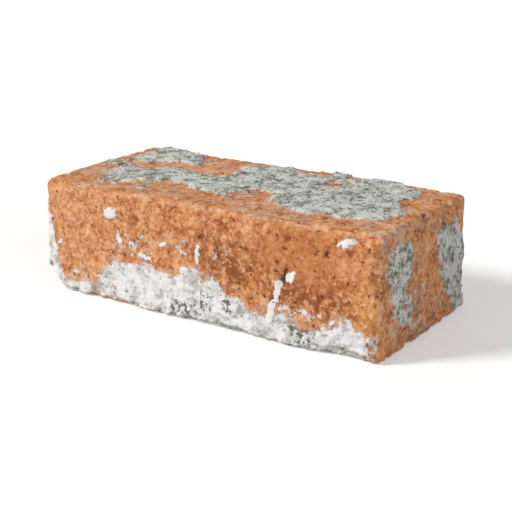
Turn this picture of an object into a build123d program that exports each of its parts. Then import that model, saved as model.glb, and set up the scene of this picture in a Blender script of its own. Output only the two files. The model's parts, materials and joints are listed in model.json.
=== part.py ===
from build123d import *
import os

# A weathered clay brick, moulded and fired as one solid piece, with old mortar grown fast to it.
# It lies on its lower bed: X runs along its length, Y through its depth, Z up.
# The exposed stretcher face looks towards -Y. The origin is the middle of the lower bed.

# Work size of a full brick, in millimetres, measured over the swell of its faces and the mortar on them.
LENGTH = 215.0
WIDTH = 102.5
HEIGHT = 65.0

# The clay dries and fires unevenly, so each upright face swells out in its middle by this much.
FACE_SWELL = 0.9
END_SWELL = 0.7

# The mould is a little wider at the lower bed, so that the wet brick slips out, in degrees.
MOULD_DRAFT = 0.6

# Rounded arrises: upright corners, the struck upper bed and the lower bed.
CORNER_RADIUS = 4.5
UPPER_ARRIS_RADIUS = 3.0
LOWER_ARRIS_RADIUS = 2.0

# Old mortar clings in patches to the faces that were laid in joints: the upper bed, the ends and the back.
# A patch stands this far off the clay, out to the work size, and its block reaches this deep in from there.
# Its outline runs straight from point to point, with its corners worn round.
MORTAR_THICKNESS = 1.8
MORTAR_ROOT = 6.0
MORTAR_CORNER_RADIUS = 2.0

# Outlines of the patches on the upper bed. A point gives its place along the length and through the depth,
# from the middle.
BED_PATCH_SHARES = (
    (
        (-0.14, -0.22),
        (-0.02, -0.31),
        (0.11, -0.22),
        (0.22, -0.34),
        (0.36, -0.27),
        (0.45, -0.08),
        (0.38, 0.10),
        (0.43, 0.30),
        (0.28, 0.41),
        (0.12, 0.31),
        (0.00, 0.41),
        (-0.12, 0.30),
        (-0.08, 0.08),
        (-0.18, -0.04),
    ),
    ((-0.46, 0.10), (-0.34, 0.15), (-0.23, 0.28), (-0.28, 0.42), (-0.45, 0.42)),
    ((-0.44, -0.30), (-0.30, -0.36), (-0.23, -0.24), (-0.31, -0.07), (-0.43, -0.12)),
)

# On an end or on the back, a point gives its place across the face, from the middle and towards the right
# as the face is looked at, and its height up the face.
RIGHT_PATCH_SHARES = (
    (
        (-0.40, 0.20),
        (-0.22, 0.12),
        (-0.12, 0.30),
        (-0.20, 0.52),
        (-0.13, 0.74),
        (-0.30, 0.86),
        (-0.41, 0.70),
        (-0.35, 0.45),
    ),
    ((0.04, 0.86), (0.09, 0.60), (0.24, 0.48), (0.28, 0.26), (0.41, 0.22), (0.42, 0.66), (0.34, 0.86)),
)
LEFT_PATCH_SHARES = (
    (
        (-0.40, 0.16),
        (-0.16, 0.11),
        (0.02, 0.24),
        (0.14, 0.42),
        (0.33, 0.50),
        (0.40, 0.72),
        (0.24, 0.86),
        (-0.02, 0.76),
        (-0.14, 0.56),
        (-0.36, 0.46),
    ),
)
BACK_PATCH_SHARES = (
    ((-0.40, 0.86), (-0.35, 0.62), (-0.22, 0.53), (-0.12, 0.68), (-0.14, 0.86)),
    (
        (-0.04, 0.50),
        (0.04, 0.20),
        (0.15, 0.12),
        (0.24, 0.30),
        (0.20, 0.56),
        (0.26, 0.80),
        (0.12, 0.86),
        (0.05, 0.68),
    ),
    ((0.36, 0.20), (0.45, 0.14), (0.45, 0.52), (0.39, 0.46)),
)

# Chips knocked off an arris are long shallow scoops. These are the length and depth of the largest one.
CHIP_LENGTH = 44.0
CHIP_DEPTH = 5.0

# Chips along the stretcher face's upper and lower arrises. Each row gives the chip's place, from the
# left end of the face, and its length and depth against the largest chip.
UPPER_CHIP_SHARES = (
    (0.02, 1.00, 1.00),
    (0.16, 0.62, 0.52),
    (0.41, 0.95, 0.46),
    (0.56, 0.40, 0.44),
    (0.735, 0.38, 0.58),
    (0.86, 0.60, 0.40),
    (0.985, 0.66, 0.84),
)
LOWER_CHIP_SHARES = (
    (0.27, 0.80, 0.50),
    (0.47, 0.45, 0.40),
    (0.62, 0.55, 0.52),
    (0.93, 0.90, 0.84),
)

# Chips along its two upright arrises, by their place above the lower bed, sized in the same way.
LEFT_CHIP_SHARES = ((0.52, 0.62, 0.62), (0.80, 0.40, 0.50))
RIGHT_CHIP_SHARES = ((0.30, 0.55, 0.60), (0.66, 0.50, 0.52))

# One lower corner is broken right off: how far the break runs in along each arris, and the radius of
# its hollow.
BREAK_REACH = 17.0
BREAK_HOLLOW_RADIUS = 42.0

UP = Vector(0, 0, 1)
FORWARD = Vector(0, -1, 0)
LEFTWARD = Vector(-1, 0, 0)


def bed_outline(inset):
    """Draws the lower bed with its four sides swollen into flat arcs, and its ends and back set in.

    Gives the outline and the arc of its front side.
    """
    end_x = LENGTH / 2 - inset
    front_y = -WIDTH / 2
    back_y = WIDTH / 2 - inset
    corner_x = end_x - END_SWELL
    middle_y = (front_y + back_y) / 2
    with BuildSketch(Plane.XY) as outline:
        with BuildLine():
            front_start = (-corner_x, front_y + FACE_SWELL)
            front = ThreePointArc(front_start, (0, front_y), (corner_x, front_y + FACE_SWELL))
            right = ThreePointArc(front @ 1, (end_x, middle_y), (corner_x, back_y - FACE_SWELL))
            back = ThreePointArc(right @ 1, (0, back_y), (-corner_x, back_y - FACE_SWELL))
            ThreePointArc(back @ 1, (-end_x, middle_y), front @ 0)
        make_face()
    return outline.sketch, front


def scoop(point, outward, length_share, depth_share):
    """Takes one chip out of the arris at a point, with a ball that stands off the arris outwards."""
    depth = CHIP_DEPTH * depth_share
    half_chord = CHIP_LENGTH * length_share / 2
    radius = (half_chord**2 + depth**2) / (2 * depth)
    with Locations(point + outward.normalized() * (radius - depth)):
        Sphere(radius, mode=Mode.SUBTRACT)


work_outline, _ = bed_outline(0)
clay_outline, front = bed_outline(MORTAR_THICKNESS)
clay_height = HEIGHT - MORTAR_THICKNESS

# The faces that carry mortar: each one's plane, its size across and upwards, and its patches.
JOINT_FACES = (
    (Plane.XY.offset(HEIGHT), LENGTH, WIDTH, BED_PATCH_SHARES),
    (Plane.right.offset(LENGTH / 2), WIDTH, HEIGHT, RIGHT_PATCH_SHARES),
    (Plane.left.offset(LENGTH / 2), WIDTH, HEIGHT, LEFT_PATCH_SHARES),
    (Plane.back.offset(WIDTH / 2), LENGTH, HEIGHT, BACK_PATCH_SHARES),
)

with BuildPart() as mortar:
    # Blocks of each patch's outline, which the work size then trims to the swell and draft of its face.
    for plane, across, upward, patch_shares in JOINT_FACES:
        for outline_shares in patch_shares:
            with BuildSketch(plane):
                with BuildLine():
                    corners = [(across * share, upward * rise) for share, rise in outline_shares]
                    FilletPolyline(*corners, radius=MORTAR_CORNER_RADIUS, close=True)
                make_face()
            extrude(amount=-MORTAR_ROOT)
    extrude(work_outline, amount=HEIGHT, taper=MOULD_DRAFT, mode=Mode.INTERSECT)

with BuildPart() as brick:
    extrude(clay_outline, amount=clay_height, taper=MOULD_DRAFT)

    # Rounded arrises: the four upright corners, then the loop round each bed.
    fillet(brick.edges().group_by(Axis.Z)[1], radius=CORNER_RADIUS)
    fillet(brick.faces().sort_by(Axis.Z)[-1].edges(), radius=UPPER_ARRIS_RADIUS)
    fillet(brick.faces().sort_by(Axis.Z)[0].edges(), radius=LOWER_ARRIS_RADIUS)

    add(mortar.part)

    # Chips along the stretcher face's upper and lower arrises.
    for place, length_share, depth_share in UPPER_CHIP_SHARES:
        scoop(front @ place + UP * clay_height, FORWARD + UP, length_share, depth_share)
    for place, length_share, depth_share in LOWER_CHIP_SHARES:
        scoop(front @ place, FORWARD - UP, length_share, depth_share)

    # Chips along its two upright arrises.
    for place, length_share, depth_share in LEFT_CHIP_SHARES:
        scoop(front @ 0 + UP * clay_height * place, FORWARD + LEFTWARD, length_share, depth_share)
    for place, length_share, depth_share in RIGHT_CHIP_SHARES:
        scoop(front @ 1 + UP * clay_height * place, FORWARD - LEFTWARD, length_share, depth_share)

    # The broken lower left corner, a hollow fracture across three faces.
    corner_out = (FORWARD + LEFTWARD - UP).normalized()
    break_depth = BREAK_REACH / 3**0.5
    with Locations(front @ 0 + corner_out * (BREAK_HOLLOW_RADIUS - break_depth)):
        Sphere(BREAK_HOLLOW_RADIUS, mode=Mode.SUBTRACT)

brick.part.label = "brick"
os.makedirs("parts", exist_ok=True)
export_step(brick.part, "parts/brick.step")
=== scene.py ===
"""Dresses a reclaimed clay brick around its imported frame.

It makes the fired clay with limewash and old mortar on it, loose crumbs of that mortar, and a pale studio.
"""

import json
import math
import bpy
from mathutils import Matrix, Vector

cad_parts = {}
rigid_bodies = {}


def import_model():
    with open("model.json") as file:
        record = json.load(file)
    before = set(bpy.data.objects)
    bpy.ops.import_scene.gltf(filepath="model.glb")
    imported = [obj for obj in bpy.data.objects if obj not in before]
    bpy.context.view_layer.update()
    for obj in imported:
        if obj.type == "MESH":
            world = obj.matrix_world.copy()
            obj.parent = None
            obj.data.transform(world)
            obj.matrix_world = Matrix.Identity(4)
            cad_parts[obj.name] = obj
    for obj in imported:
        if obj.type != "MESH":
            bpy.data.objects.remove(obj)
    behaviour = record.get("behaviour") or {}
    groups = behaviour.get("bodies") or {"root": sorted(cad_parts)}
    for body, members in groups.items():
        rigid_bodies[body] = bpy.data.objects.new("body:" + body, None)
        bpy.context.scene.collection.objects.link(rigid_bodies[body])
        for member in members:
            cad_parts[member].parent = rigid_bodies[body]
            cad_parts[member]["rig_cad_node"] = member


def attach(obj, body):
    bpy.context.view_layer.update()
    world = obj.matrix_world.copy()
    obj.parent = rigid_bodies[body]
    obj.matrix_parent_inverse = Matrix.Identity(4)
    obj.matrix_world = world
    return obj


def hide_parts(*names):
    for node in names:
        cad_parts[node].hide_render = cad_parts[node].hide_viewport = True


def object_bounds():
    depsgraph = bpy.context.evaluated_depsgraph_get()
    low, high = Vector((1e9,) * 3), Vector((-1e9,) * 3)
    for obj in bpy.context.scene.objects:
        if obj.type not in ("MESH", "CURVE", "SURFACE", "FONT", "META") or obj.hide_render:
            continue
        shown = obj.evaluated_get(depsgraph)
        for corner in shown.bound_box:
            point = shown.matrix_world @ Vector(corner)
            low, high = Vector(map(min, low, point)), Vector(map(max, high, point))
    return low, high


bl_info = {
    "name": "Reclaimed Clay Brick",
    "version": (1, 0, 0),
    "blender": (4, 5, 0),
    "location": "3D View > Sidebar > Brick",
    "description": "Makes a weathered clay brick with limewash and old mortar on it, in a pale studio",
    "category": "Object",
}

from functools import cached_property, reduce
from typing import NamedTuple

import bmesh
import bpy
from mathutils import Vector

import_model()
CAD_LOW, CAD_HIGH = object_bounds()

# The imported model's names.
NODE = "brick"
BODY = "root"

# Patterns are laid out in millimetres, and the brick's own size comes from the frame.
MM = 0.001
LENGTH, WIDTH, HEIGHT = ((high - low) / MM for low, high in zip(CAD_LOW, CAD_HIGH))

# Old mortar stands this far off the clay, in patches on the upper bed, the ends and the back.
MORTAR_STAND = 1.8

# The clay's upright faces swell out in their middles by this much, and draw in upwards at this angle.
FACE_SWELL = 0.9
END_SWELL = 0.7
MOULD_DRAFT = math.radians(0.6)

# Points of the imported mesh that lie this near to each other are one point.
WELD_REACH = 0.01

# Where the clay's own faces lie, and the size of the stretcher face that they leave.
CLAY_END = LENGTH / 2 - MORTAR_STAND
CLAY_FRONT = -WIDTH / 2
CLAY_BACK = WIDTH / 2 - MORTAR_STAND
CLAY_TOP = HEIGHT - MORTAR_STAND
FACE_LENGTH = 2 * CLAY_END
FACE_HEIGHT = CLAY_TOP

# Point attributes that carry the unworn shape to the materials: where a point was, which way it looked,
# and how far inside the edge of a patch of mortar it lies. The second is blurred this many times, so that
# arrises wear evenly.
REST = "rest"
FACING = "facing"
PATCH = "patch"
FACING_BLUR = 10

# The limewash's upper edge on the stretcher face: place along the face, then its height up the face.
LIMEWASH_RISE_SHARES = (
    (0.0, 1.0),
    (0.035, 0.55),
    (0.065, 0.10),
    (0.17, 0.16),
    (0.21, 0.28),
    (0.247, 0.39),
    (0.317, 0.405),
    (0.37, 0.39),
    (0.417, 0.31),
    (0.448, 0.43),
    (0.486, 0.46),
    (0.525, 0.38),
    (0.556, 0.43),
    (0.595, 0.31),
    (0.687, 0.21),
    (0.757, 0.27),
    (0.788, 0.19),
    (0.842, 0.17),
    (0.888, 0.30),
    (0.927, 0.34),
    (0.95, 0.24),
    (1.0, 0.20),
)

# That edge is ragged and frayed by this much, soft over this much either way, and thin down to this depth.
LIMEWASH_EDGE_REACH = 20.0
LIMEWASH_FRAY_REACH = 9.0
LIMEWASH_SOFTNESS = 0.35
LIMEWASH_THIN_DEPTH = 3.5

# Bare islands in the limewash grow likelier from the first depth below that edge to the second.
LIMEWASH_WORN_DEPTHS = (9.0, 1.0)

# Lime dust on the clay thickens from the first depth to the second. A depth above that edge is below 0.
LIMEWASH_VEIL = (-7.0, 1.0)

# Loose flecks of limewash higher up: place along and up the face, half length and half height in
# millimetres, and tilt in degrees.
LIMEWASH_FLECKS = (
    (0.235, 0.80, 4.6, 3.4, 25),
    (0.911, 0.917, 5.2, 2.2, 28),
    (0.262, 0.59, 1.3, 3.6, 12),
    (0.345, 0.475, 5.6, 1.3, -14),
    (0.405, 0.62, 2.2, 1.8, 40),
    (0.506, 0.595, 1.5, 5.4, -4),
    (0.058, 0.45, 2.4, 1.2, 30),
    (0.768, 0.57, 3.6, 2.2, 40),
    (0.734, 0.43, 2.0, 6.4, -12),
    (0.717, 0.27, 2.0, 6.2, -12),
)

# Gouges in the clay, given in the same way. They are sunk into the relief and painted dark as painted shade.
CLAY_GOUGES = ((0.751, 0.535, 1.9, 4.2, -28), (0.862, 0.80, 1.3, 1.8, 20))

# Patches where scraps of limewash are still caught in the grain: place along and up the face, and their
# reach both ways.
LIMEWASH_SCRAP_SHARES = (
    (0.305, 0.54, 0.085, 0.19),
    (0.445, 0.64, 0.055, 0.13),
    (0.57, 0.61, 0.03, 0.12),
    (0.12, 0.14, 0.10, 0.12),
    (0.80, 0.27, 0.15, 0.12),
)

# Dark grit sits thickest in the limewash here: place along and up the face, and reach in millimetres.
GRIT_CLUSTERS = ((0.53, 0.21, 6.0), (0.592, 0.22, 4.5), (0.80, 0.12, 9.0), (0.46, 0.06, 10.0))

# Patches where the kiln left another colour: place along and up the face, and their reach both ways.
BURNT_PATCH_SHARES = ((0.60, 0.60, 0.15, 0.30), (0.81, 0.44, 0.17, 0.26), (0.54, 0.86, 0.03, 0.12))
OCHRE_PATCH_SHARES = ((0.975, 0.40, 0.06, 0.34), (0.655, 0.44, 0.05, 0.14))
RICH_PATCH_SHARES = ((0.79, 0.76, 0.15, 0.34),)

# Hairline cracks in the stretcher face, from point to point, along and up the face.
CRACK_SHARES = (
    ((0.205, 0.47), (0.300, 0.44)),
    ((0.762, 0.63), (0.742, 0.52)),
    ((0.742, 0.52), (0.727, 0.31)),
    ((0.742, 1.0), (0.728, 0.80)),
)

# A crack's half width at its core and at its lips, how much of that it loses where it closes, and its depth.
CRACK_CORE = 0.1
CRACK_LIP = 0.5
CRACK_CLOSING = 0.35
CRACK_DEPTH = 0.5

# How far apart the pits and the pinholes lie.
HOLLOW_SPACING = 8.5
PINHOLE_SPACING = 3.6

# How far weather bites in from an arris: long bites, small ones on top of them, and the least of all. A
# bite as long as the run is worn to full depth at the arris. Clay is made pale along the arrises from the
# first of the last two distances on, and most at the second, partly as wear and partly as a painted
# highlight.
LONG_BITE_REACH = 6.0
SMALL_BITE_REACH = 3.4
LEAST_BITE_REACH = 0.4
WEAR_RUN = 7.0
WEAR_AND_HIGHLIGHT_REACH = (3.0, 0.8)

# The faces wave by this much, sunk by this much below the mould. The stretcher face is set back further, to
# leave room for its limewash.
FACE_WAVE_HEIGHT = 1.1
FACE_WAVE_SINK = 0.25
STRETCHER_SET_BACK = 0.6

# Heights of the lumps, the sand and the broken arrises, against the grain that the user sets.
LUMPS_TO_GRAIN = 1.3
SAND_TO_GRAIN = 1.5
BREAK_TO_GRAIN = 2.4

# Mortar fades in between these distances from the stretcher face, and across the edge of a packed patch by
# this much either way. Clay lies under a patch as its place, raised by the mortar's stand, comes this near
# to the patch's faces.
MORTAR_FRONT = (2.0, 16.0)
PATCH_BLEND = 9.0
PATCH_TOUCH = (0.8, 0.5)

# As the mortar's field grows, a thin film comes first, then the edge of the mortar, which heaps up from
# there, and carries crumbs where it is thick.
MORTAR_FILM = (0.45, 0.50)
MORTAR_EDGE = (0.495, 0.515)
MORTAR_HEAP = (0.495, 0.58)
MORTAR_THICK = (0.50, 0.56)

# What moves that field: a packed patch either way, the nearness of the front, the smear along the foot of
# the stretcher face, and faces that were never laid in mortar.
PATCH_PULL = 0.16
FRONT_LOSS = 0.07
SMEAR_GAIN = 0.29
BARE_LOSS = 0.26

# A face counts as one of the laid ones, or as the stretcher, as its facing goes from the first to the second.
LAID_FACING = (0.5, 0.85)
STRETCHER_FACING = (0.45, 0.75)

# Crumbs start between these heights above the floor. Each is roughened by this much, and this share as high
# as it is wide.
CRUMB_CLEARANCE = (4.0, 6.0)
CRUMB_ROUGHNESS = 0.9
CRUMB_HEIGHT_SHARE = 0.7

# The floor reaches this far each way, in metres, and lies this far below the brick.
FLOOR_REACH = 20.0
FLOOR_DROP = 0.2
FLOOR_CORNERS = ((-1, -1), (1, -1), (1, 1), (-1, 1))

# The camera sees the floor lifted towards white by this much light.
FLOOR_LIFT = 0.32

# Where the lamps stand as seen from the brick, and how broad they look.
KEY_TOWARDS = Vector((-0.58, -0.58, 0.58))
KEY_BREADTH = math.radians(16)
FILL_TOWARDS = Vector((0.84, -0.36, 0.42))
FILL_BREADTH = math.radians(34)

# The camera's aim is corrected this often, until the brick is centred.
AIM_PASSES = 4


class Pattern(NamedTuple):
    """Cloudy noise: the size of its largest lumps in millimetres, its seed, its detail and its roughness."""

    size: float
    seed: int
    detail: float = 2.0
    roughness: float = 0.5


class Wander(NamedTuple):
    """A wavy push that makes edges ragged: its size and its reach in millimetres, and its seed."""

    size: float
    reach: float
    seed: int


# What is drawn on the brick wanders off its outline.
PATCH_WANDER = Wander(16, 9, 3)
BLOT_WANDER = Wander(4.0, 2.4, 5)
LIMEWASH_WANDER = Wander(5.5, 2.6, 7)
HOLLOW_WANDER = Wander(3.2, 2.6, 13)
PINHOLE_WANDER = Wander(1.4, 1.3, 14)
CRACK_WANDER = Wander(7.0, 4.0, 17)
WANDER_ROUGHNESS = 0.6

# Seeds move a pattern by steps, so that two patterns of one size don't fall on each other.
SEED_STEPS = (31.7, 17.3, 47.1)

# Patterns that decide where something lies.
BLOT_EDGE = Pattern(3.0, 6, 5.0, 0.75)
LIMEWASH_EDGE = Pattern(9.0, 8, 6.0, 0.72)
LIMEWASH_FRAY = Pattern(3.4, 28, 4.0, 0.70)
LIMEWASH_BARE = Pattern(6.0, 9, 5.0, 0.70)
LIMEWASH_WORN = Pattern(30.0, 10)
LIMEWASH_CAUGHT = Pattern(4.4, 12, 5.0, 0.72)
MORTAR_CLOUD = Pattern(36, 109, 5.0, 0.60)
PINHOLE_CROWD = Pattern(20, 15, 3.0)
CRACK_WIDTH = Pattern(6.0, 18)
LONG_BITES = Pattern(15, 19, 3.0, 0.6)
SMALL_BITES = Pattern(4.8, 20, 2.0, 0.6)

# Patterns of the relief.
FACE_WAVE = Pattern(46, 21, 1.0)
CLAY_LUMPS = Pattern(9, 22, 3.0, 0.55)
CLAY_SAND = Pattern(2.9, 23, 2.0, 0.6)
CLAY_BREAK = Pattern(6.5, 24, 3.0, 0.62)
LIMEWASH_BODY = Pattern(5, 25)
MORTAR_CRUMBLE = Pattern(3.4, 26, 3.0, 0.65)
CRUMB_SHAPE = Pattern(1.2, 61, 2.0, 0.6)

# Patterns of the colours.
CLAY_CLOUD = Pattern(9, 31, 6.0, 0.74)
CLAY_MOTTLE = Pattern(4.5, 32, 5.0, 0.72)
IRON_SPOTS = Pattern(7.0, 33, 4.0, 0.68)
CLAY_GRIT = Pattern(2.6, 34, 4.0, 0.75)
MORTAR_SAND = Pattern(3.4, 41, 5.0, 0.72)
MORTAR_CHALK = Pattern(10, 42, 6.0, 0.74)
MORTAR_SOIL = Pattern(9.0, 43, 5.0, 0.70)
LIMEWASH_CLOUD = Pattern(5.0, 45, 5.0, 0.72)
LIMEWASH_SPECKS = Pattern(2.7, 46, 4.0, 0.7)
LIMEWASH_STAIN = Pattern(3.0, 47, 3.0, 0.7)
LIMEWASH_DIRT = Pattern(9.0, 49, 5.0, 0.7)
LIME_DUST = Pattern(10, 48, 4.0, 0.65)
CRUMB_DULLNESS = Pattern(3.0, 53)

# Patterns of the bump.
CLAY_GRAIN = Pattern(1.1, 51, 3.0, 0.65)
MORTAR_GRAIN = Pattern(1.8, 52, 3.0, 0.7)
CRUMB_GRAIN = Pattern(0.9, 54, 2.0, 0.6)

# The floor's faint clouds, whose size is in metres.
FLOOR_CLOUD = Pattern(0.4, 71)


def display(red, green, blue):
    """Turns a colour as a screen shows it, each part from 0 to 255, into Blender's linear numbers."""
    shares = (part / 255 for part in (red, green, blue))
    return tuple(share / 12.92 if share <= 0.04045 else ((share + 0.055) / 1.055) ** 2.4 for share in shares)


def opaque(colour):
    """Gives a colour the fourth number that a colour socket takes."""
    return (*colour, 1.0)


WHITE = (1.0, 1.0, 1.0)
FLOOR_SHADE = display(222, 222, 220)


class Wire:
    """An output socket that takes part in Python sums by adding Math nodes to its tree."""

    def __init__(self, board, socket):
        self.board = board
        self.socket = socket

    def maths(self, operation, *values):
        return self.board.node("ShaderNodeMath", {"operation": operation}, dict(enumerate(values)))

    def __add__(self, other):
        return self.maths("ADD", self, other)

    def __radd__(self, other):
        return self.maths("ADD", other, self)

    def __sub__(self, other):
        return self.maths("SUBTRACT", self, other)

    def __rsub__(self, other):
        return self.maths("SUBTRACT", other, self)

    def __mul__(self, other):
        return self.maths("MULTIPLY", self, other)

    def __rmul__(self, other):
        return self.maths("MULTIPLY", other, self)

    def __truediv__(self, other):
        return self.maths("DIVIDE", self, other)

    def __rtruediv__(self, other):
        return self.maths("DIVIDE", other, self)

    def __abs__(self):
        return self.maths("ABSOLUTE", self)

    def least(self, other):
        return self.maths("MINIMUM", self, other)

    def most(self, other):
        return self.maths("MAXIMUM", self, other)

    def rise(self, start, end):
        """Goes smoothly from 0 at start to 1 at end, and end may be the lower of the two."""
        low, high = min(start, end), max(start, end)
        eased = {"interpolation_type": "SMOOTHSTEP"}
        grown = self.board.node("ShaderNodeMapRange", eased, {0: self, 1: low, 2: high})
        return grown if start < end else 1 - grown

    def output(self, key):
        """Another output of the same node, by its name or number."""
        return Wire(self.board, self.socket.node.outputs[key])


def least_of(wires):
    """The least of several wires."""
    return reduce(Wire.least, wires)


class Board:
    """Adds nodes to one tree, and gives back their outputs as wires."""

    def __init__(self, tree):
        self.tree = tree

    def node(self, kind, settings=None, sockets=None, output=0):
        """Adds a node of any kind. Its settings are set first, then the values or links of its sockets."""
        made = self.tree.nodes.new(kind)
        for name, value in (settings or {}).items():
            if name == "stops":
                self.set_stops(made.color_ramp, value)
            elif name == "points":
                self.set_points(made.mapping, value)
            else:
                setattr(made, name, value)
        for key, value in (sockets or {}).items():
            if isinstance(value, Wire):
                self.tree.links.new(value.socket, made.inputs[key])
            else:
                made.inputs[key].default_value = value
        return Wire(self, made.outputs[output])

    def close(self, kind, socket, wire):
        """Ends the tree in an output node of this kind."""
        made = self.tree.nodes.new(kind)
        self.tree.links.new(wire.socket, made.inputs[socket])

    @staticmethod
    def set_stops(ramp, stops):
        for index, (place, colour) in enumerate(stops):
            stop = ramp.elements[index] if index < 2 else ramp.elements.new(place)
            stop.position = place
            stop.color = opaque(colour)

    @staticmethod
    def set_points(mapping, points):
        curve = mapping.curves[0]
        curve.points[0].location = points[0]
        curve.points[1].location = points[-1]
        for point in points[1:-1]:
            curve.points.new(*point)
        for point in curve.points:
            point.handle_type = "VECTOR"
        mapping.update()

    def vector(self, operation, *values):
        return self.node("ShaderNodeVectorMath", {"operation": operation}, dict(enumerate(values)))

    def scaled(self, vector, factor):
        return self.node("ShaderNodeVectorMath", {"operation": "SCALE"}, {0: vector, "Scale": factor})

    def span(self, vector):
        return self.node("ShaderNodeVectorMath", {"operation": "LENGTH"}, {0: vector}, "Value")

    def dot(self, one, other):
        return self.node("ShaderNodeVectorMath", {"operation": "DOT_PRODUCT"}, {0: one, 1: other}, "Value")

    def parts(self, vector):
        first = self.node("ShaderNodeSeparateXYZ", None, {0: vector})
        return first, first.output("Y"), first.output("Z")

    def joined(self, x, y, z):
        return self.node("ShaderNodeCombineXYZ", None, {0: x, 1: y, 2: z})

    def moved(self, place, seed):
        """Shifts a pattern by its seed."""
        return self.vector("ADD", place, tuple(step * seed for step in SEED_STEPS))

    def noise(self, place, pattern, output=0):
        """A pattern of cloudy noise, from 0 to 1."""
        sockets = {
            "Vector": self.moved(place, pattern.seed),
            "Scale": 1 / pattern.size,
            "Detail": pattern.detail,
            "Roughness": pattern.roughness,
        }
        return self.node("ShaderNodeTexNoise", None, sockets, output)

    def push(self, place, pattern):
        """A vector of cloudy noise, each part from -0.5 to 0.5."""
        return self.vector("SUBTRACT", self.noise(place, pattern, "Color"), (0.5, 0.5, 0.5))

    def wandered(self, place, wander):
        """Pushes a place about, so that what is drawn there gets ragged edges."""
        push = self.push(place, Pattern(wander.size, wander.seed, roughness=WANDER_ROUGHNESS))
        return self.vector("ADD", place, self.scaled(push, 2 * wander.reach))

    def cells(self, place, size, seed):
        """Scattered points: the distance to the nearest one, in cells, and a random number of its own."""
        sockets = {"Vector": self.moved(place, seed), "Scale": 1 / size}
        distance = self.node("ShaderNodeTexVoronoi", None, sockets)
        return distance, self.parts(distance.output("Color"))[0]

    def mixed(self, factor, one, other):
        """Goes from one colour to the other."""
        colours = [side if isinstance(side, Wire) else opaque(side) for side in (one, other)]
        sockets = {0: factor, 6: colours[0], 7: colours[1]}
        return self.node("ShaderNodeMix", {"data_type": "RGBA"}, sockets, 2)

    def blended(self, factor, one, other):
        """Goes from one number to the other."""
        return self.node("ShaderNodeMix", {"data_type": "FLOAT"}, {0: factor, 2: one, 3: other})

    def ramp(self, value, stops):
        return self.node("ShaderNodeValToRGB", {"stops": stops}, {0: value})

    def curve(self, value, points):
        return self.node("ShaderNodeFloatCurve", {"points": points}, {1: value})


def on_face(along, up):
    """A point of the stretcher face, by its shares, as a place in millimetres on the face's middle plane."""
    return ((along - 0.5) * FACE_LENGTH, 0.0, up * FACE_HEIGHT)


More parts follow.
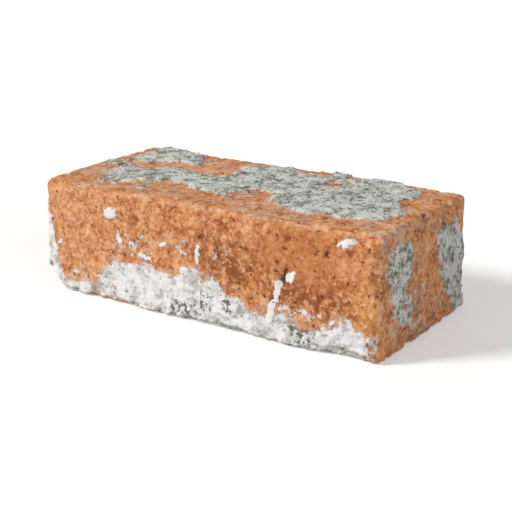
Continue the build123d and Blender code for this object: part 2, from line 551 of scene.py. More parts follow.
class Lay:
    """Where a point of the skin lies on the brick, in one tree, and the weathering that follows from it."""

    def __init__(self, board, rest, facing, patch):
        self.board = board
        self.patch = patch
        self.place = board.scaled(rest, 1 / MM)
        self.x, self.y, self.z = board.parts(self.place)
        self.along, self.up = self.shares(self.place)
        self.nx, self.ny, self.nz = board.parts(facing)
        self.stretcher = (0 - self.ny).rise(*STRETCHER_FACING)

    def noise(self, pattern):
        """A pattern laid over the brick."""
        return self.board.noise(self.place, pattern)

    def shares(self, place):
        """Shares of the stretcher face, along it from its left end and up it from the lower bed."""
        x, _, z = self.board.parts(place)
        return x / FACE_LENGTH + 0.5, z / FACE_HEIGHT

    def flat(self, place):
        """Drops the depth from a place, to draw on the stretcher face."""
        return self.board.vector("MULTIPLY", place, (1.0, 0.0, 1.0))

    def drawn(self, wander):
        """The place on the stretcher face where something ragged is drawn."""
        return self.flat(self.board.wandered(self.place, wander))

    def patches(self, shares):
        """Soft ellipses on the stretcher face, 1 in their middles and 0 outside."""
        board = self.board
        drawn = self.drawn(PATCH_WANDER)
        away = []
        for along, up, reach_along, reach_up in shares:
            offset = board.vector("SUBTRACT", drawn, on_face(along, up))
            size = (1 / (reach_along * FACE_LENGTH), 0.0, 1 / (reach_up * FACE_HEIGHT))
            away.append(board.span(board.vector("MULTIPLY", offset, size)))
        return least_of(away).rise(1.1, 0.35) * self.stretcher

    def blots(self, rows):
        """Ragged ellipses on the stretcher face, 1 inside them."""
        board = self.board
        drawn = self.drawn(BLOT_WANDER)
        ragged = self.noise(BLOT_EDGE) - 0.5
        away = []
        for along, up, half_length, half_height, tilt in rows:
            offset = board.vector("SUBTRACT", drawn, on_face(along, up))
            sockets = {"Vector": offset, "Angle": math.radians(tilt)}
            turned = board.node("ShaderNodeVectorRotate", {"rotation_type": "Y_AXIS"}, sockets)
            size = (1 / half_length, 0.0, 1 / half_height)
            away.append(board.span(board.vector("MULTIPLY", turned, size)))
        return (least_of(away) + ragged * 2.2).rise(1.05, 0.85)

    def holes(self, wander, spacing):
        """Scattered holes: the distance to the nearest one, in spacings, and a random number of its own."""
        return self.board.cells(self.board.wandered(self.place, wander), spacing, wander.seed)

    @cached_property
    def arris(self):
        """Distance from the nearest arris: the second smallest of the distances from the clay's faces."""
        ends = CLAY_END - abs(self.x)
        sides = (self.y - CLAY_FRONT).least(CLAY_BACK - self.y)
        beds = self.z.least(CLAY_TOP - self.z)
        low = ends.least(sides).least(beds)
        high = ends.most(sides).most(beds)
        return ends + sides + beds - low - high

    @cached_property
    def flecks(self):
        """The loose flecks of limewash, 1 inside them."""
        return self.blots(LIMEWASH_FLECKS)

    @cached_property
    def gouges(self):
        """The gouges in the clay, 1 inside them. They are sunk, and painted dark as painted shade."""
        return self.blots(CLAY_GOUGES) * self.stretcher

    @cached_property
    def limewash_depth(self):
        """How far below the limewash's ragged upper edge a point lies, in millimetres."""
        along, up = self.shares(self.board.wandered(self.place, LIMEWASH_WANDER))
        below = (self.board.curve(along, LIMEWASH_RISE_SHARES) - up) * FACE_HEIGHT
        ragged = (self.noise(LIMEWASH_EDGE) - 0.5) * LIMEWASH_EDGE_REACH
        frayed = (self.noise(LIMEWASH_FRAY) - 0.5) * LIMEWASH_FRAY_REACH
        return below + ragged + frayed

    @cached_property
    def limewash(self):
        """The limewash that is left on the stretcher face, 1 where it covers the clay."""
        depth = self.limewash_depth
        coat = depth.rise(-LIMEWASH_SOFTNESS, LIMEWASH_SOFTNESS)
        thin = self.noise(LIMEWASH_WORN).rise(0.45, 0.65) * 0.06 + self.along.rise(0.55, 0.80) * 0.05
        bare = self.noise(LIMEWASH_BARE) + thin + depth.rise(*LIMEWASH_WORN_DEPTHS) * 0.05
        islands = bare.rise(0.675, 0.695)
        caught = self.noise(LIMEWASH_CAUGHT) + self.patches(LIMEWASH_SCRAP_SHARES) * 0.135
        scraps = caught.rise(0.675, 0.695)
        return (coat * (1 - islands)).most(self.flecks).most(scraps) * self.stretcher

    @cached_property
    def mortar_growth(self):
        """A field that passes 0.5 where old mortar clings, and grows towards the middle of its patch."""
        under = (0 - self.nz).rise(*LAID_FACING)
        laid = (abs(self.nx).most(self.ny).most(self.nz)).rise(*LAID_FACING)
        from_front = (self.y - CLAY_FRONT).rise(*MORTAR_FRONT)
        drawn = self.patch.rise(-PATCH_BLEND, PATCH_BLEND) * PATCH_PULL - PATCH_PULL / 2
        smear = self.up.rise(0.10, 0.0) * self.stretcher * SMEAR_GAIN
        held = (laid + under).least(1.0)
        clinging = (drawn - (1 - from_front) * FRONT_LOSS) * laid
        return self.noise(MORTAR_CLOUD) + clinging + smear - (1 - held) * BARE_LOSS

    @cached_property
    def mortar(self):
        """The old mortar, 1 where it covers the clay."""
        return self.mortar_growth.rise(*MORTAR_EDGE)

    @cached_property
    def hollows(self):
        """Pits left by burnt-out grit, a few millimetres across, 1 in their middles."""
        distance, chance = self.holes(HOLLOW_WANDER, HOLLOW_SPACING)
        crowd = self.along.rise(0.35, 0.95) * 0.12
        kept = (chance + crowd).rise(0.74, 1.05)
        return (distance + 0.14 * (1 - kept)).rise(0.30, 0.06) * kept.rise(0.0, 0.3)

    @cached_property
    def pinholes(self):
        """Fine ragged holes, about a millimetre across, that crowd towards one end of the face."""
        distance, chance = self.holes(PINHOLE_WANDER, PINHOLE_SPACING)
        crowd = self.noise(PINHOLE_CROWD) * 0.6 + self.along.rise(0.2, 1.0) * 0.2
        kept = (chance + crowd).rise(1.0, 1.25)
        return (distance + 0.16 * (1 - kept)).rise(0.34, 0.12) * kept

    @cached_property
    def cracks(self):
        """Hairline cracks on the stretcher face, 1 along their lines."""
        board = self.board
        drawn = self.drawn(CRACK_WANDER)
        away = []
        for start, end in CRACK_SHARES:
            first = Vector(on_face(*start))
            run = Vector(on_face(*end)) - first
            offset = board.vector("SUBTRACT", drawn, tuple(first))
            reached = board.dot(offset, tuple(run / run.length_squared)).most(0.0).least(1.0)
            away.append(board.span(board.vector("SUBTRACT", offset, board.scaled(tuple(run), reached))))
        width = self.noise(CRACK_WIDTH).rise(0.36, 0.62)
        return (least_of(away) + CRACK_CLOSING * (1 - width)).rise(CRACK_LIP, CRACK_CORE) * self.stretcher

    @cached_property
    def wear(self):
        """How far weather has eaten an arris away, as a ragged chamfer that comes and goes, from 0 to 1."""
        long_bites = self.noise(LONG_BITES).rise(0.44, 0.66) * LONG_BITE_REACH
        small_bites = self.noise(SMALL_BITES).rise(0.47, 0.60) * SMALL_BITE_REACH
        reach = long_bites + small_bites + LEAST_BITE_REACH
        return ((reach - self.arris) / WEAR_RUN).most(0.0).least(1.0)


def relief(lay, wear_depth, hollow_depth, grain, limewash_thickness, mortar_thickness):
    """How far the skin stands out from the moulded shape, in metres. The sizes are wires."""
    swell = (lay.noise(FACE_WAVE) - 0.5) * FACE_WAVE_HEIGHT * MM - FACE_WAVE_SINK * MM
    lumps = (lay.noise(CLAY_LUMPS) - 0.5) * LUMPS_TO_GRAIN * grain
    sand = (lay.noise(CLAY_SAND) - 0.5) * SAND_TO_GRAIN * grain
    oblique = (1 - abs(lay.nx).most(abs(lay.ny)).most(abs(lay.nz))).rise(0.03, 0.22)
    broken = (lay.noise(CLAY_BREAK) - 0.5) * oblique * BREAK_TO_GRAIN * grain
    lime = lay.limewash * (lay.noise(LIMEWASH_BODY) + 0.5) * limewash_thickness
    crumbly = lay.noise(MORTAR_CRUMBLE)
    heaped = lay.mortar_growth.rise(*MORTAR_HEAP) * 0.25 + crumbly * 0.55 + 0.2
    above_floor = lay.nz.rise(-0.75, -0.25)
    crust = lay.mortar * heaped * above_floor * (1 - lay.stretcher * 0.7) * mortar_thickness
    pitted = (lay.hollows * (1 - lay.mortar)).most(lay.gouges) * hollow_depth
    worn = lay.wear * wear_depth + pitted + lay.cracks * CRACK_DEPTH * MM
    return swell + lumps + sand + broken + lime + crust - lay.stretcher * STRETCHER_SET_BACK * MM - worn


def clay_colour(lay, tones):
    """The fired clay's colour, before anything lies on it, with painted shade in its pits, pinholes, cracks
    and gouges, and a pale band along its arrises that is partly wear and partly painted highlight.
    """
    board = lay.board
    stops = ((0.34, tones.brown), (0.45, tones.orange), (0.54, tones.bright), (0.67, tones.pale))
    clay = board.ramp(lay.noise(CLAY_CLOUD), stops)
    mottle = lay.noise(CLAY_MOTTLE)
    lightly_fired = lay.along.rise(0.42, 0.05) * lay.stretcher * mottle.rise(0.38, 0.6)
    clay = board.mixed(lightly_fired * 0.35, clay, tones.pale)
    burnt = lay.patches(BURNT_PATCH_SHARES) * mottle.rise(0.40, 0.56)
    clay = board.mixed(burnt * 0.9, clay, tones.burnt)
    ochre = lay.patches(OCHRE_PATCH_SHARES) * mottle.rise(0.62, 0.44)
    clay = board.mixed(ochre * 0.7, clay, tones.ochre)
    rich = lay.patches(RICH_PATCH_SHARES)
    clay = board.mixed(rich * 0.75, clay, tones.orange)
    red = lay.noise(IRON_SPOTS).rise(0.60, 0.70)
    clay = board.mixed(red * 0.65, clay, tones.red)
    grit = lay.noise(CLAY_GRIT)
    dull = burnt.most(rich) * 0.65
    clay = board.mixed(grit.rise(0.52, 0.62) * (1 - dull) * 0.85, clay, tones.pale)
    clay = board.mixed(grit.rise(0.46, 0.34) * 0.85, clay, tones.burnt)
    # Pale along the arrises: partly worn edges, partly a painted highlight on them.
    wear_and_edge_highlight = lay.wear.most(lay.arris.rise(*WEAR_AND_HIGHLIGHT_REACH) * 0.7)
    clay = board.mixed(wear_and_edge_highlight * mottle.rise(0.36, 0.56) * 0.8, clay, tones.pale)
    # Pits and pinholes are darkened with the recess shade colour, as painted shade in the hollows.
    painted_pit_shade = (lay.pinholes * 0.85).most(lay.hollows * 0.6)
    clay = board.mixed(painted_pit_shade, clay, tones.soot)
    # Cracks and gouges are darkened the same way, as painted shade along them.
    return board.mixed(lay.cracks.most(lay.gouges) * 0.8, clay, tones.soot)


def mortar_colour(board, place, tones):
    """Sandy lime mortar: pale lime, grey sand and dark grit."""
    stops = ((0.36, tones.grit), (0.44, tones.sand), (0.52, tones.pale), (0.60, tones.lime))
    body = board.ramp(board.noise(place, MORTAR_SAND), stops)
    soiled = board.noise(place, MORTAR_SOIL).rise(0.52, 0.64)
    body = board.mixed(soiled * 0.6, body, tones.grit)
    chalky = board.noise(place, MORTAR_CHALK).rise(0.49, 0.56)
    return board.mixed(chalky * 0.75, body, tones.lime)


def limewash_colour(lay, tones):
    """Chalky white with grey shadows and dark grit, thickest in its clusters."""
    board = lay.board
    stops = ((0.38, tones.shadow), (0.47, tones.white), (0.57, tones.bright))
    chalk = board.ramp(lay.noise(LIMEWASH_CLOUD), stops)
    drawn = lay.flat(lay.place)
    away = []
    for along, up, reach in GRIT_CLUSTERS:
        away.append(board.span(board.vector("SUBTRACT", drawn, on_face(along, up))) / reach)
    crowd = least_of(away).rise(1.4, 0.2) * 0.15
    specks = (lay.noise(LIMEWASH_SPECKS) + crowd).rise(0.61, 0.67)
    edge = lay.limewash_depth.rise(LIMEWASH_THIN_DEPTH, 0.0) * (1 - lay.flecks)
    thin = edge * lay.noise(LIMEWASH_STAIN).rise(0.42, 0.62)
    soiled = lay.along.rise(0.10, 0.55) * 0.7 + 0.3
    dirty = lay.noise(LIMEWASH_DIRT).rise(0.51, 0.65) * soiled * (1 - lay.flecks)
    chalk = board.mixed(dirty * 0.6, chalk, tones.shadow)
    chalk = board.mixed(lay.flecks * 0.7, chalk, tones.bright)
    stained = board.mixed(thin * 0.55, chalk, tones.stain)
    return board.mixed(specks * 0.95, stained, tones.grit)


def new_material(name):
    """An empty node material, and the board that adds its nodes."""
    material = bpy.data.materials.new(name)
    material.use_nodes = True
    material.node_tree.nodes.clear()
    return material, Board(material.node_tree)


def matt_surface(board, colour, roughness, height, shine):
    """Ends a material in a matt Principled shader, with a bump whose height is in millimetres."""
    bump = board.node("ShaderNodeBump", None, {"Strength": 1.0, "Distance": MM, "Height": height})
    sockets = {"Base Color": colour, "Roughness": roughness, "Normal": bump, "Specular IOR Level": shine}
    board.close("ShaderNodeOutputMaterial", "Surface", board.node("ShaderNodeBsdfPrincipled", None, sockets))


def skin_material(settings):
    """Fired clay with its limewash and mortar, on the brick's stored rest places."""
    material, board = new_material("brick_skin")
    rest = board.node("ShaderNodeAttribute", {"attribute_name": REST}, output="Vector")
    facing = board.node("ShaderNodeAttribute", {"attribute_name": FACING}, output="Vector")
    patch = board.node("ShaderNodeAttribute", {"attribute_name": PATCH}, output="Fac")
    lay = Lay(board, rest, facing, patch)
    clay = clay_colour(lay, settings.clay_tones)
    haze = lay.noise(LIME_DUST)
    veil = lay.limewash_depth.rise(*LIMEWASH_VEIL) * lay.stretcher
    dust = (1 - lay.stretcher) * 0.30 + veil * 0.45
    dusty = board.mixed(haze.rise(0.44, 0.70) * dust, clay, settings.limewash_tones.white)
    coated = board.mixed(lay.limewash, dusty, limewash_colour(lay, settings.limewash_tones))
    film = lay.mortar_growth.rise(*MORTAR_FILM) * haze.rise(0.40, 0.62) * 0.5
    set_mortar = mortar_colour(board, lay.place, settings.mortar_tones)
    colour = board.mixed(lay.mortar.most(film), coated, set_mortar)
    roughness = board.blended(lay.limewash, 0.86, 0.78)
    fine = lay.noise(CLAY_GRAIN) * 0.55
    rough_mortar = lay.noise(MORTAR_GRAIN) * lay.mortar * 0.5
    height = fine * (1 - lay.limewash * 0.6) + rough_mortar - lay.pinholes * (1 - lay.limewash) * 0.5
    matt_surface(board, colour, roughness, height, 0.25)
    return material


def crumb_material(settings):
    """The same mortar, for loose crumbs of it."""
    material, board = new_material("mortar_crumb")
    place = board.scaled(board.node("ShaderNodeTexCoord", output="Object"), 1 / MM)
    colour = mortar_colour(board, place, settings.mortar_tones)
    roughness = board.noise(place, CRUMB_DULLNESS) * 0.2 + 0.8
    height = board.noise(place, CRUMB_GRAIN) * 0.3
    matt_surface(board, colour, roughness, height, 0.2)
    return material


class NodePiece:
    """A Geometry Nodes tree with named inputs, and the plain mesh that it makes of an object."""

    def __init__(self, name):
        self.tree = bpy.data.node_groups.new(name, "GeometryNodeTree")
        self.board = Board(self.tree)
        self.values = {}
        self.tree.interface.new_socket("Geometry", in_out="INPUT", socket_type="NodeSocketGeometry")
        self.tree.interface.new_socket("Geometry", in_out="OUTPUT", socket_type="NodeSocketGeometry")
        self.entry = self.tree.nodes.new("NodeGroupInput")

    def input(self, name, kind, value):
        """Adds a named input with its value, and gives its wire."""
        socket = self.tree.interface.new_socket(name, in_out="INPUT", socket_type=kind)
        self.values[socket.identifier] = value
        return Wire(self.board, self.entry.outputs[name])

    def geometry(self):
        """The mesh that goes into the tree."""
        return Wire(self.board, self.entry.outputs["Geometry"])

    def finish(self, geometry, material):
        """Ends the tree in real geometry with its material."""
        real = self.board.node("GeometryNodeRealizeInstances", None, {"Geometry": geometry})
        worn = self.board.node("GeometryNodeSetMaterial", None, {"Geometry": real, "Material": material})
        self.board.close("NodeGroupOutput", "Geometry", worn)

    def run(self, thing):
        """Turns an object into the plain mesh that the tree makes of it, without its modifiers."""
        modifier = thing.modifiers.new(self.tree.name, "NODES")
        modifier.node_group = self.tree
        for identifier, value in self.values.items():
            modifier[identifier] = value
        evaluated = thing.evaluated_get(bpy.context.evaluated_depsgraph_get())
        made = bpy.data.meshes.new_from_object(evaluated)
        for index in reversed(range(len(made.materials))):
            if made.materials[index] is None:
                made.materials.pop(index=index)
        thing.modifiers.clear()
        thing.data = made
        made.name = thing.name
        if not made.polygons:
            raise RuntimeError(f"{thing.name} came out of its node tree empty")


def new_object(name, data):
    """Puts a mesh, a lamp or a camera into the scene as an object at the origin."""
    thing = bpy.data.objects.new(name, data)
    bpy.context.scene.collection.objects.link(thing)
    return thing


def above_clay(point):
    """How far a point of the solid stands off the clay's own faces, in millimetres: below 0 inside them."""
    x, y, z = point / MM
    drawn_in = z * math.tan(MOULD_DRAFT)
    end = abs(x) - CLAY_END + END_SWELL * (2 * y / WIDTH) ** 2 + drawn_in
    back = y - CLAY_BACK + FACE_SWELL * (2 * x / LENGTH) ** 2 + drawn_in
    return max(end, back, z - CLAY_TOP)


def merged_copy(node, of_mortar):
    """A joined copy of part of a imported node: the faces of its mortar, or its clay, closed under those."""
    source = next(thing for thing in bpy.data.objects if thing.get("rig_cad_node") == node)
    shape = bmesh.new()
    shape.from_mesh(source.data)
    bmesh.ops.remove_doubles(shape, verts=shape.verts, dist=WELD_REACH * MM)
    others = [point for point in shape.verts if (above_clay(point.co) > MORTAR_STAND / 4) != of_mortar]
    bmesh.ops.delete(shape, geom=others, context="VERTS")
    if not of_mortar:
        bmesh.ops.edgeloop_fill(shape, edges=[edge for edge in shape.edges if edge.is_boundary])
    mesh = bpy.data.meshes.new(node)
    shape.to_mesh(mesh)
    shape.free()
    return mesh


def stored(board, geometry, name, value, kind="FLOAT_VECTOR"):
    """Stores a value on each point."""
    settings = {"data_type": kind, "domain": "POINT"}
    sockets = {"Geometry": geometry, "Name": name, "Value": value}
    return board.node("GeometryNodeStoreNamedAttribute", settings, sockets)


def gap(board, kind, target, place):
    """The distance from a place to the nearest of a mesh's faces or edges, in millimetres."""
    sockets = {"Geometry": target, "Sample Position": place}
    return board.node("GeometryNodeProximity", {"target_element": kind}, sockets, "Distance") / MM


def patch_depth(board, patches, rest, facing):
    """How far inside the edge of a patch of mortar a point of the clay lies, and below 0 outside it."""
    mortar = board.node("GeometryNodeObjectInfo", None, {"Object": patches}, "Geometry")
    faces = board.node("GeometryNodeInputMeshEdgeNeighbors")
    sockets = {"Geometry": mortar, "Selection": 2 - faces}
    rim = board.node("GeometryNodeSeparateGeometry", {"domain": "EDGE"}, sockets)
    raised = board.vector("ADD", rest, board.scaled(facing, MORTAR_STAND * MM))
    inside = gap(board, "FACES", mortar, raised).rise(*PATCH_TOUCH)
    return (inside * 2 - 1) * gap(board, "EDGES", rim, raised)


def inside_box(board, place):
    """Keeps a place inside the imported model's box."""
    return board.vector("MINIMUM", board.vector("MAXIMUM", place, tuple(CAD_LOW)), tuple(CAD_HIGH))


def skin_tree(settings, material, patch_faces):
    """Weathers the moulded shape: worn arrises, pits, grain, limewash and a crust of mortar."""
    piece = NodePiece("weathered_skin")
    board = piece.board
    patches = piece.input("Mortar Patches", "NodeSocketObject", patch_faces)
    length = "NodeSocketFloat"
    sizes = (
        piece.input("Arris Wear", length, settings.arris_wear),
        piece.input("Hollow Depth", length, settings.hollow_depth),
        piece.input("Grain", length, settings.grain),
        piece.input("Limewash Thickness", length, settings.limewash_thickness),
        piece.input("Mortar Thickness", length, settings.mortar_thickness),
    )
    rest = board.node("GeometryNodeInputPosition")
    sockets = {"Value": board.node("GeometryNodeInputNormal"), "Iterations": FACING_BLUR}
    soft = board.node("GeometryNodeBlurAttribute", {"data_type": "FLOAT_VECTOR"}, sockets)
    facing = board.vector("NORMALIZE", soft)
    patch = patch_depth(board, patches, rest, facing)
    kept = stored(board, piece.geometry(), REST, rest)
    kept = stored(board, kept, FACING, facing)
    kept = stored(board, kept, PATCH, patch, "FLOAT")
    out = relief(Lay(board, rest, facing, patch), *sizes)
    moved = inside_box(board, board.vector("ADD", rest, board.scaled(facing, out)))
    worn = board.node("GeometryNodeSetPosition", None, {"Geometry": kept, "Position": moved})
    smooth = board.node("GeometryNodeSetShadeSmooth", None, {"Geometry": worn})
    piece.finish(smooth, material)
    return piece


def crumb_tree(settings, material):
    """Scatters crumbs of mortar over the crust, half sunk in it, and none under the brick."""
    piece = NodePiece("mortar_crumbs")
    board = piece.board
    density = piece.input("Density", "NodeSocketFloat", settings.crumb_density)
    size = piece.input("Crumb Size", "NodeSocketFloat", settings.crumb_size)
    seed = piece.input("Seed", "NodeSocketInt", settings.seed)
    number = {"data_type": "FLOAT"}
    vector = {"data_type": "FLOAT_VECTOR"}
    rest = board.node("GeometryNodeInputNamedAttribute", vector, {"Name": REST})
    facing = board.node("GeometryNodeInputNamedAttribute", vector, {"Name": FACING})
    patch = board.node("GeometryNodeInputNamedAttribute", number, {"Name": PATCH})
    lay = Lay(board, rest, facing, patch)
    clear_of_floor = lay.z.rise(*CRUMB_CLEARANCE) * lay.nz.rise(-0.4, -0.2)
    share = lay.mortar_growth.rise(*MORTAR_THICK) * clear_of_floor
    sockets = {"Mesh": piece.geometry(), "Density": density * share, "Seed": seed}
    points = board.node("GeometryNodeDistributePointsOnFaces", {"distribute_method": "RANDOM"}, sockets)
    ball = board.node("GeometryNodeMeshIcoSphere", None, {"Radius": 0.5, "Subdivisions": 1})
    spread = board.node("FunctionNodeRandomValue", number, {2: 0.0, 3: 1.0, "Seed": seed}, 1)
    grown = size * (spread * spread * spread * 0.75 + 0.25)
    still = (0.0, 0.0, 0.0)
    full_turn = (2 * math.pi, 2 * math.pi, 2 * math.pi)
    angles = board.node("FunctionNodeRandomValue", vector, {0: still, 1: full_turn, "Seed": seed})
    flattened = board.joined(grown, grown, grown * CRUMB_HEIGHT_SHARE)
    sockets = {"Points": points, "Instance": ball, "Rotation": angles, "Scale": flattened}
    crumbs = board.node("GeometryNodeInstanceOnPoints", None, sockets)
    real = board.node("GeometryNodeRealizeInstances", None, {"Geometry": crumbs})
    here = board.node("GeometryNodeInputPosition")
    push = board.scaled(board.push(board.scaled(here, 1 / MM), CRUMB_SHAPE), CRUMB_ROUGHNESS * MM)
    moved = inside_box(board, board.vector("ADD", here, push))
    rough = board.node("GeometryNodeSetPosition", None, {"Geometry": real, "Position": moved})
    piece.finish(rough, material)
    return piece


def colour(name, description, red, green, blue):
    """A colour that a user can change."""
    shown = display(red, green, blue)
    return bpy.props.FloatVectorProperty(
        name=name, description=description, subtype="COLOR", size=3, min=0, max=1, default=shown
    )


def distance(name, description, millimetres):
    """A length that a user can change."""
    return bpy.props.FloatProperty(
        name=name, description=description, subtype="DISTANCE", unit="LENGTH", min=0, precision=5,
        default=millimetres * MM,
    )


def angle(name, description, degrees):
    """An angle that a user can change."""
    return bpy.props.FloatProperty(
        name=name, description=description, subtype="ANGLE", default=math.radians(degrees)
    )


def amount(name, description, value):
    """A number from 0 upwards that a user can change."""
    return bpy.props.FloatProperty(name=name, description=description, min=0, default=value)


class ClayTones(bpy.types.PropertyGroup):
    """Colours of the fired clay, with the painted shade of its recesses and the pale of its arrises"""

    orange: colour("Orange", "Main colour of the fired clay", 194, 121, 70)
    bright: colour("Bright", "Clay that the kiln fired lightly", 217, 148, 96)
    # Pale also colours the arrises, partly as wear and partly as a painted highlight.
    pale: colour("Pale", "Worn arrises and pale grit", 238, 186, 144)
    brown: colour("Brown", "Darker clay between the lumps", 152, 84, 43)
    burnt: colour("Burnt", "Patches that the kiln burnt brown", 132, 68, 33)
    ochre: colour("Ochre", "Yellow patches", 212, 150, 80)
    red: colour("Red", "Spots of iron red", 182, 84, 48)
    # This colour is painted shade, laid into pits, pinholes, cracks and gouges.
    soot: colour("Soot", "Dark grit, pits and cracks", 86, 46, 26)


class LimewashTones(bpy.types.PropertyGroup):
    """Colours of the limewash"""

    white: colour("White", "Main colour of the limewash", 216, 215, 213)
    bright: colour("Bright", "Thick clean limewash", 236, 236, 235)
    shadow: colour("Shadow", "Thin or dirty limewash", 166, 164, 158)
    stain: colour("Stain", "Clay showing through the thin edge of the limewash", 216, 176, 152)
    grit: colour("Grit", "Dark grit in the limewash", 92, 94, 84)


class MortarTones(bpy.types.PropertyGroup):
    """Colours of the old mortar"""

    lime: colour("Lime", "Chalky lumps of lime", 227, 228, 222)
    pale: colour("Pale", "Main colour of the mortar", 190, 190, 179)
    sand: colour("Sand", "Grey sand grains", 144, 145, 131)
    grit: colour("Grit", "Dark grit and moss in the hollows", 70, 72, 60)


class BrickSettings(bpy.types.PropertyGroup):
    """Sizes and colours of the brick's skin"""

    clay_tones: bpy.props.PointerProperty(
        type=ClayTones, name="Clay Tones", description="Colours of the fired clay"
    )
    limewash_tones: bpy.props.PointerProperty(
        type=LimewashTones, name="Limewash Tones", description="Colours of the limewash"
    )
    mortar_tones: bpy.props.PointerProperty(
        type=MortarTones, name="Mortar Tones", description="Colours of the old mortar"
    )
    facet: distance("Facet", "Size of the facets that the skin is cut into", 0.96)
    arris_wear: distance("Arris Wear", "Most that weather has eaten off an arris", 2.4)
    hollow_depth: distance("Hollow Depth", "Depth of the pits", 1.1)
    grain: distance("Grain", "Height of the clay's lumps and sand", 0.6)
    limewash_thickness: distance("Limewash Thickness", "Thickness of the limewash coat", 0.45)
    mortar_thickness: distance("Mortar Thickness", "Most that old mortar stands off the clay", MORTAR_STAND)
    crumb_size: distance("Crumb Size", "Width of the largest crumb of mortar", 2.4)
    crumb_density: amount("Crumb Density", "Crumbs on each square metre of thick mortar", 130000.0)
    seed: bpy.props.IntProperty(name="Seed", description="Picks another scatter of crumbs", default=7)


class StudioSettings(bpy.types.PropertyGroup):
    """The floor, the lamps and the camera"""

    floor: colour("Floor", "Colour of the floor", 236, 236, 234)
    azimuth: angle("Azimuth", "How far the camera stands round to the right of the stretcher face", 34)
    elevation: angle("Elevation", "How far the camera looks down", 17)
    standoff: distance("Standoff", "Distance from the camera to the brick's middle", 600)
    fill_share: bpy.props.FloatProperty(
        name="Fill", description="Share of the picture's width that the brick takes up", subtype="FACTOR",
        min=0.1, max=1, default=0.86,
    )
    key_strength: amount("Key Strength", "Strength of the main lamp, in watts on each square metre", 2.55)
    fill_strength: amount("Fill Strength", "Strength of the lamp on the shaded side, in the same way", 0.55)
    sky_strength: amount("Sky Strength", "Strength of the even light all round", 0.30)


class BRICK_OT_fired_body(bpy.types.Operator):
    """Makes the brick's weathered body, with the limewash and the mortar that cling to it"""

    bl_idname = "brick.fired_body"
    bl_label = "Fired Body"

    def execute(self, context):
        settings = context.scene.brick_settings
        body = new_object("fired_brick", merged_copy(NODE, False))
        patches = new_object("mortar_patches", merged_copy(NODE, True))
        facets = body.modifiers.new("Facets", "REMESH")
        facets.mode = "VOXEL"
        facets.voxel_size = settings.facet
        skin_tree(settings, skin_material(settings), patches).run(body)
        bpy.data.objects.remove(patches)
        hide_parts(NODE)
        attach(body, BODY)
        return {"FINISHED"}


class BRICK_OT_mortar_crumbs(bpy.types.Operator):
    """Scatters crumbs of old mortar over the brick's crust of mortar"""

    bl_idname = "brick.mortar_crumbs"
    bl_label = "Mortar Crumbs"

    def execute(self, context):
        settings = context.scene.brick_settings
        crumbs = new_object("mortar_crumbs", bpy.data.objects["fired_brick"].data.copy())
        crumb_tree(settings, crumb_material(settings)).run(crumbs)
        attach(crumbs, BODY)
        return {"FINISHED"}


def seen_rays(board):
    """1 for the rays that show a surface: the camera's own, mirrored ones and those through glass."""
    camera = board.node("ShaderNodeLightPath", output="Is Camera Ray")
    return camera.most(camera.output("Is Glossy Ray")).most(camera.output("Is Transmission Ray"))


def floor_material(tone):
    """A pale matt floor, which the camera sees a little lifted towards white, shadow and all."""
    material, board = new_material("studio_floor")
    clouds = board.noise(board.node("ShaderNodeTexCoord", output="Object"), FLOOR_CLOUD)
    shade = board.mixed(clouds.rise(0.35, 0.65) * 0.03, tone, FLOOR_SHADE)
    matt = board.node("ShaderNodeBsdfDiffuse", None, {"Color": shade})
    lift = board.node("ShaderNodeEmission", None, {"Color": opaque(WHITE), "Strength": FLOOR_LIFT})
    lifted = board.node("ShaderNodeAddShader", None, {0: matt, 1: lift})
    seen = board.node("ShaderNodeMixShader", None, {0: seen_rays(board), 1: matt, 2: lifted})
    board.close("ShaderNodeOutputMaterial", "Surface", seen)
    return material


def light_world(strength):
    """Even light all round, behind a background that shows white."""
    world = bpy.data.worlds.new("studio")
    world.use_nodes = True
    world.node_tree.nodes.clear()
    board = Board(world.node_tree)
    even = board.node("ShaderNodeBackground", None, {"Color": opaque(WHITE), "Strength": strength})
    shown = board.node("ShaderNodeBackground", None, {"Color": opaque(WHITE), "Strength": 1.0})
    seen = board.node("ShaderNodeMixShader", None, {0: seen_rays(board), 1: even, 2: shown})
    board.close("ShaderNodeOutputWorld", "Surface", seen)
    bpy.context.scene.world = world


def add_sun(name, towards, strength, breadth):
    """A broad, even lamp far off in one direction, so that the whole floor is lit alike."""
    lamp = bpy.data.lights.new(name, "SUN")
    lamp.energy = strength
    lamp.angle = breadth
    new_object(name, lamp).rotation_euler = (-towards).to_track_quat("-Z", "Y").to_euler()


def add_camera(settings, low, high):
    """A camera that sees the whole box, centred, with the brick as wide in the picture as asked."""
    corners = [Vector((x, y, z)) for x in (low.x, high.x) for y in (low.y, high.y) for z in (low.z, high.z)]
    aim = (low + high) / 2
    level = math.cos(settings.elevation)
    across = math.sin(settings.azimuth) * level
    forward = -math.cos(settings.azimuth) * level
    place = aim + Vector((across, forward, math.sin(settings.elevation))) * settings.standoff
    for _ in range(AIM_PASSES):
        turn = (aim - place).to_track_quat("-Z", "Y")
        seen = [turn.inverted() @ (corner - place) for corner in corners]
        sideways = [point.x / -point.z for point in seen]
        upward = [point.y / -point.z for point in seen]
        middle = Vector(((max(sideways) + min(sideways)) / 2, (max(upward) + min(upward)) / 2, -1.0))
        aim = place + (turn @ middle) * settings.standoff
    camera = bpy.data.cameras.new("camera")
    camera.lens = camera.sensor_width * settings.fill_share / (max(sideways) - min(sideways))
    thing = new_object("camera", camera)
    thing.location = place
    thing.rotation_euler = turn.to_euler()
    bpy.context.scene.camera = thing


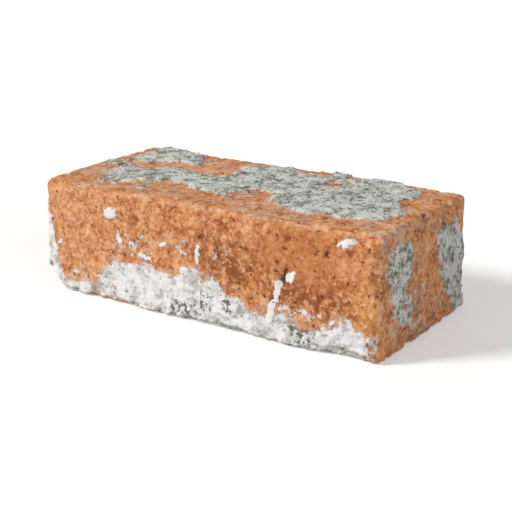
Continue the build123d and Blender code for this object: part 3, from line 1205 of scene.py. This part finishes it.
class BRICK_OT_studio(bpy.types.Operator):
    """Sets up the floor, the lamps, the background and the camera"""

    bl_idname = "brick.studio"
    bl_label = "Studio"

    def execute(self, context):
        settings = context.scene.brick_studio
        context.scene.view_settings.view_transform = "Standard"
        level = CAD_LOW.z - FLOOR_DROP * MM
        corners = [(x * FLOOR_REACH, y * FLOOR_REACH, level) for x, y in FLOOR_CORNERS]
        mesh = bpy.data.meshes.new("floor")
        mesh.from_pydata(corners, [], [(0, 1, 2, 3)])
        mesh.materials.append(floor_material(settings.floor))
        new_object("floor", mesh)
        add_sun("key_lamp", KEY_TOWARDS, settings.key_strength, KEY_BREADTH)
        add_sun("fill_lamp", FILL_TOWARDS, settings.fill_strength, FILL_BREADTH)
        light_world(settings.sky_strength)
        add_camera(settings, CAD_LOW, CAD_HIGH)
        return {"FINISHED"}


class BRICK_PT_sidebar(bpy.types.Panel):
    """Lists the brick's pieces and their settings"""

    bl_label = "Reclaimed Clay Brick"
    bl_space_type = "VIEW_3D"
    bl_region_type = "UI"
    bl_category = "Brick"

    def draw(self, context):
        for operator in OPERATORS:
            self.layout.operator(operator.bl_idname)
        self.list_settings(context.scene.brick_settings)
        self.list_settings(context.scene.brick_studio)

    def list_settings(self, group):
        """Lists a group's settings, and those of the groups in it."""
        for name in type(group).__annotations__:
            value = getattr(group, name)
            if isinstance(value, bpy.types.PropertyGroup):
                self.list_settings(value)
            else:
                self.layout.prop(group, name)


OPERATORS = (BRICK_OT_fired_body, BRICK_OT_mortar_crumbs, BRICK_OT_studio)
GROUPS = (ClayTones, LimewashTones, MortarTones, BrickSettings, StudioSettings)
CLASSES = (*GROUPS, *OPERATORS, BRICK_PT_sidebar)


def register():
    for made in CLASSES:
        bpy.utils.register_class(made)
    bpy.types.Scene.brick_settings = bpy.props.PointerProperty(type=BrickSettings)
    bpy.types.Scene.brick_studio = bpy.props.PointerProperty(type=StudioSettings)


def unregister():
    del bpy.types.Scene.brick_studio
    del bpy.types.Scene.brick_settings
    for made in reversed(CLASSES):
        bpy.utils.unregister_class(made)


def main():
    register()
    bpy.ops.brick.fired_body()
    bpy.ops.brick.mortar_crumbs()
    bpy.ops.brick.studio()


if __name__ == "__main__":
    main()
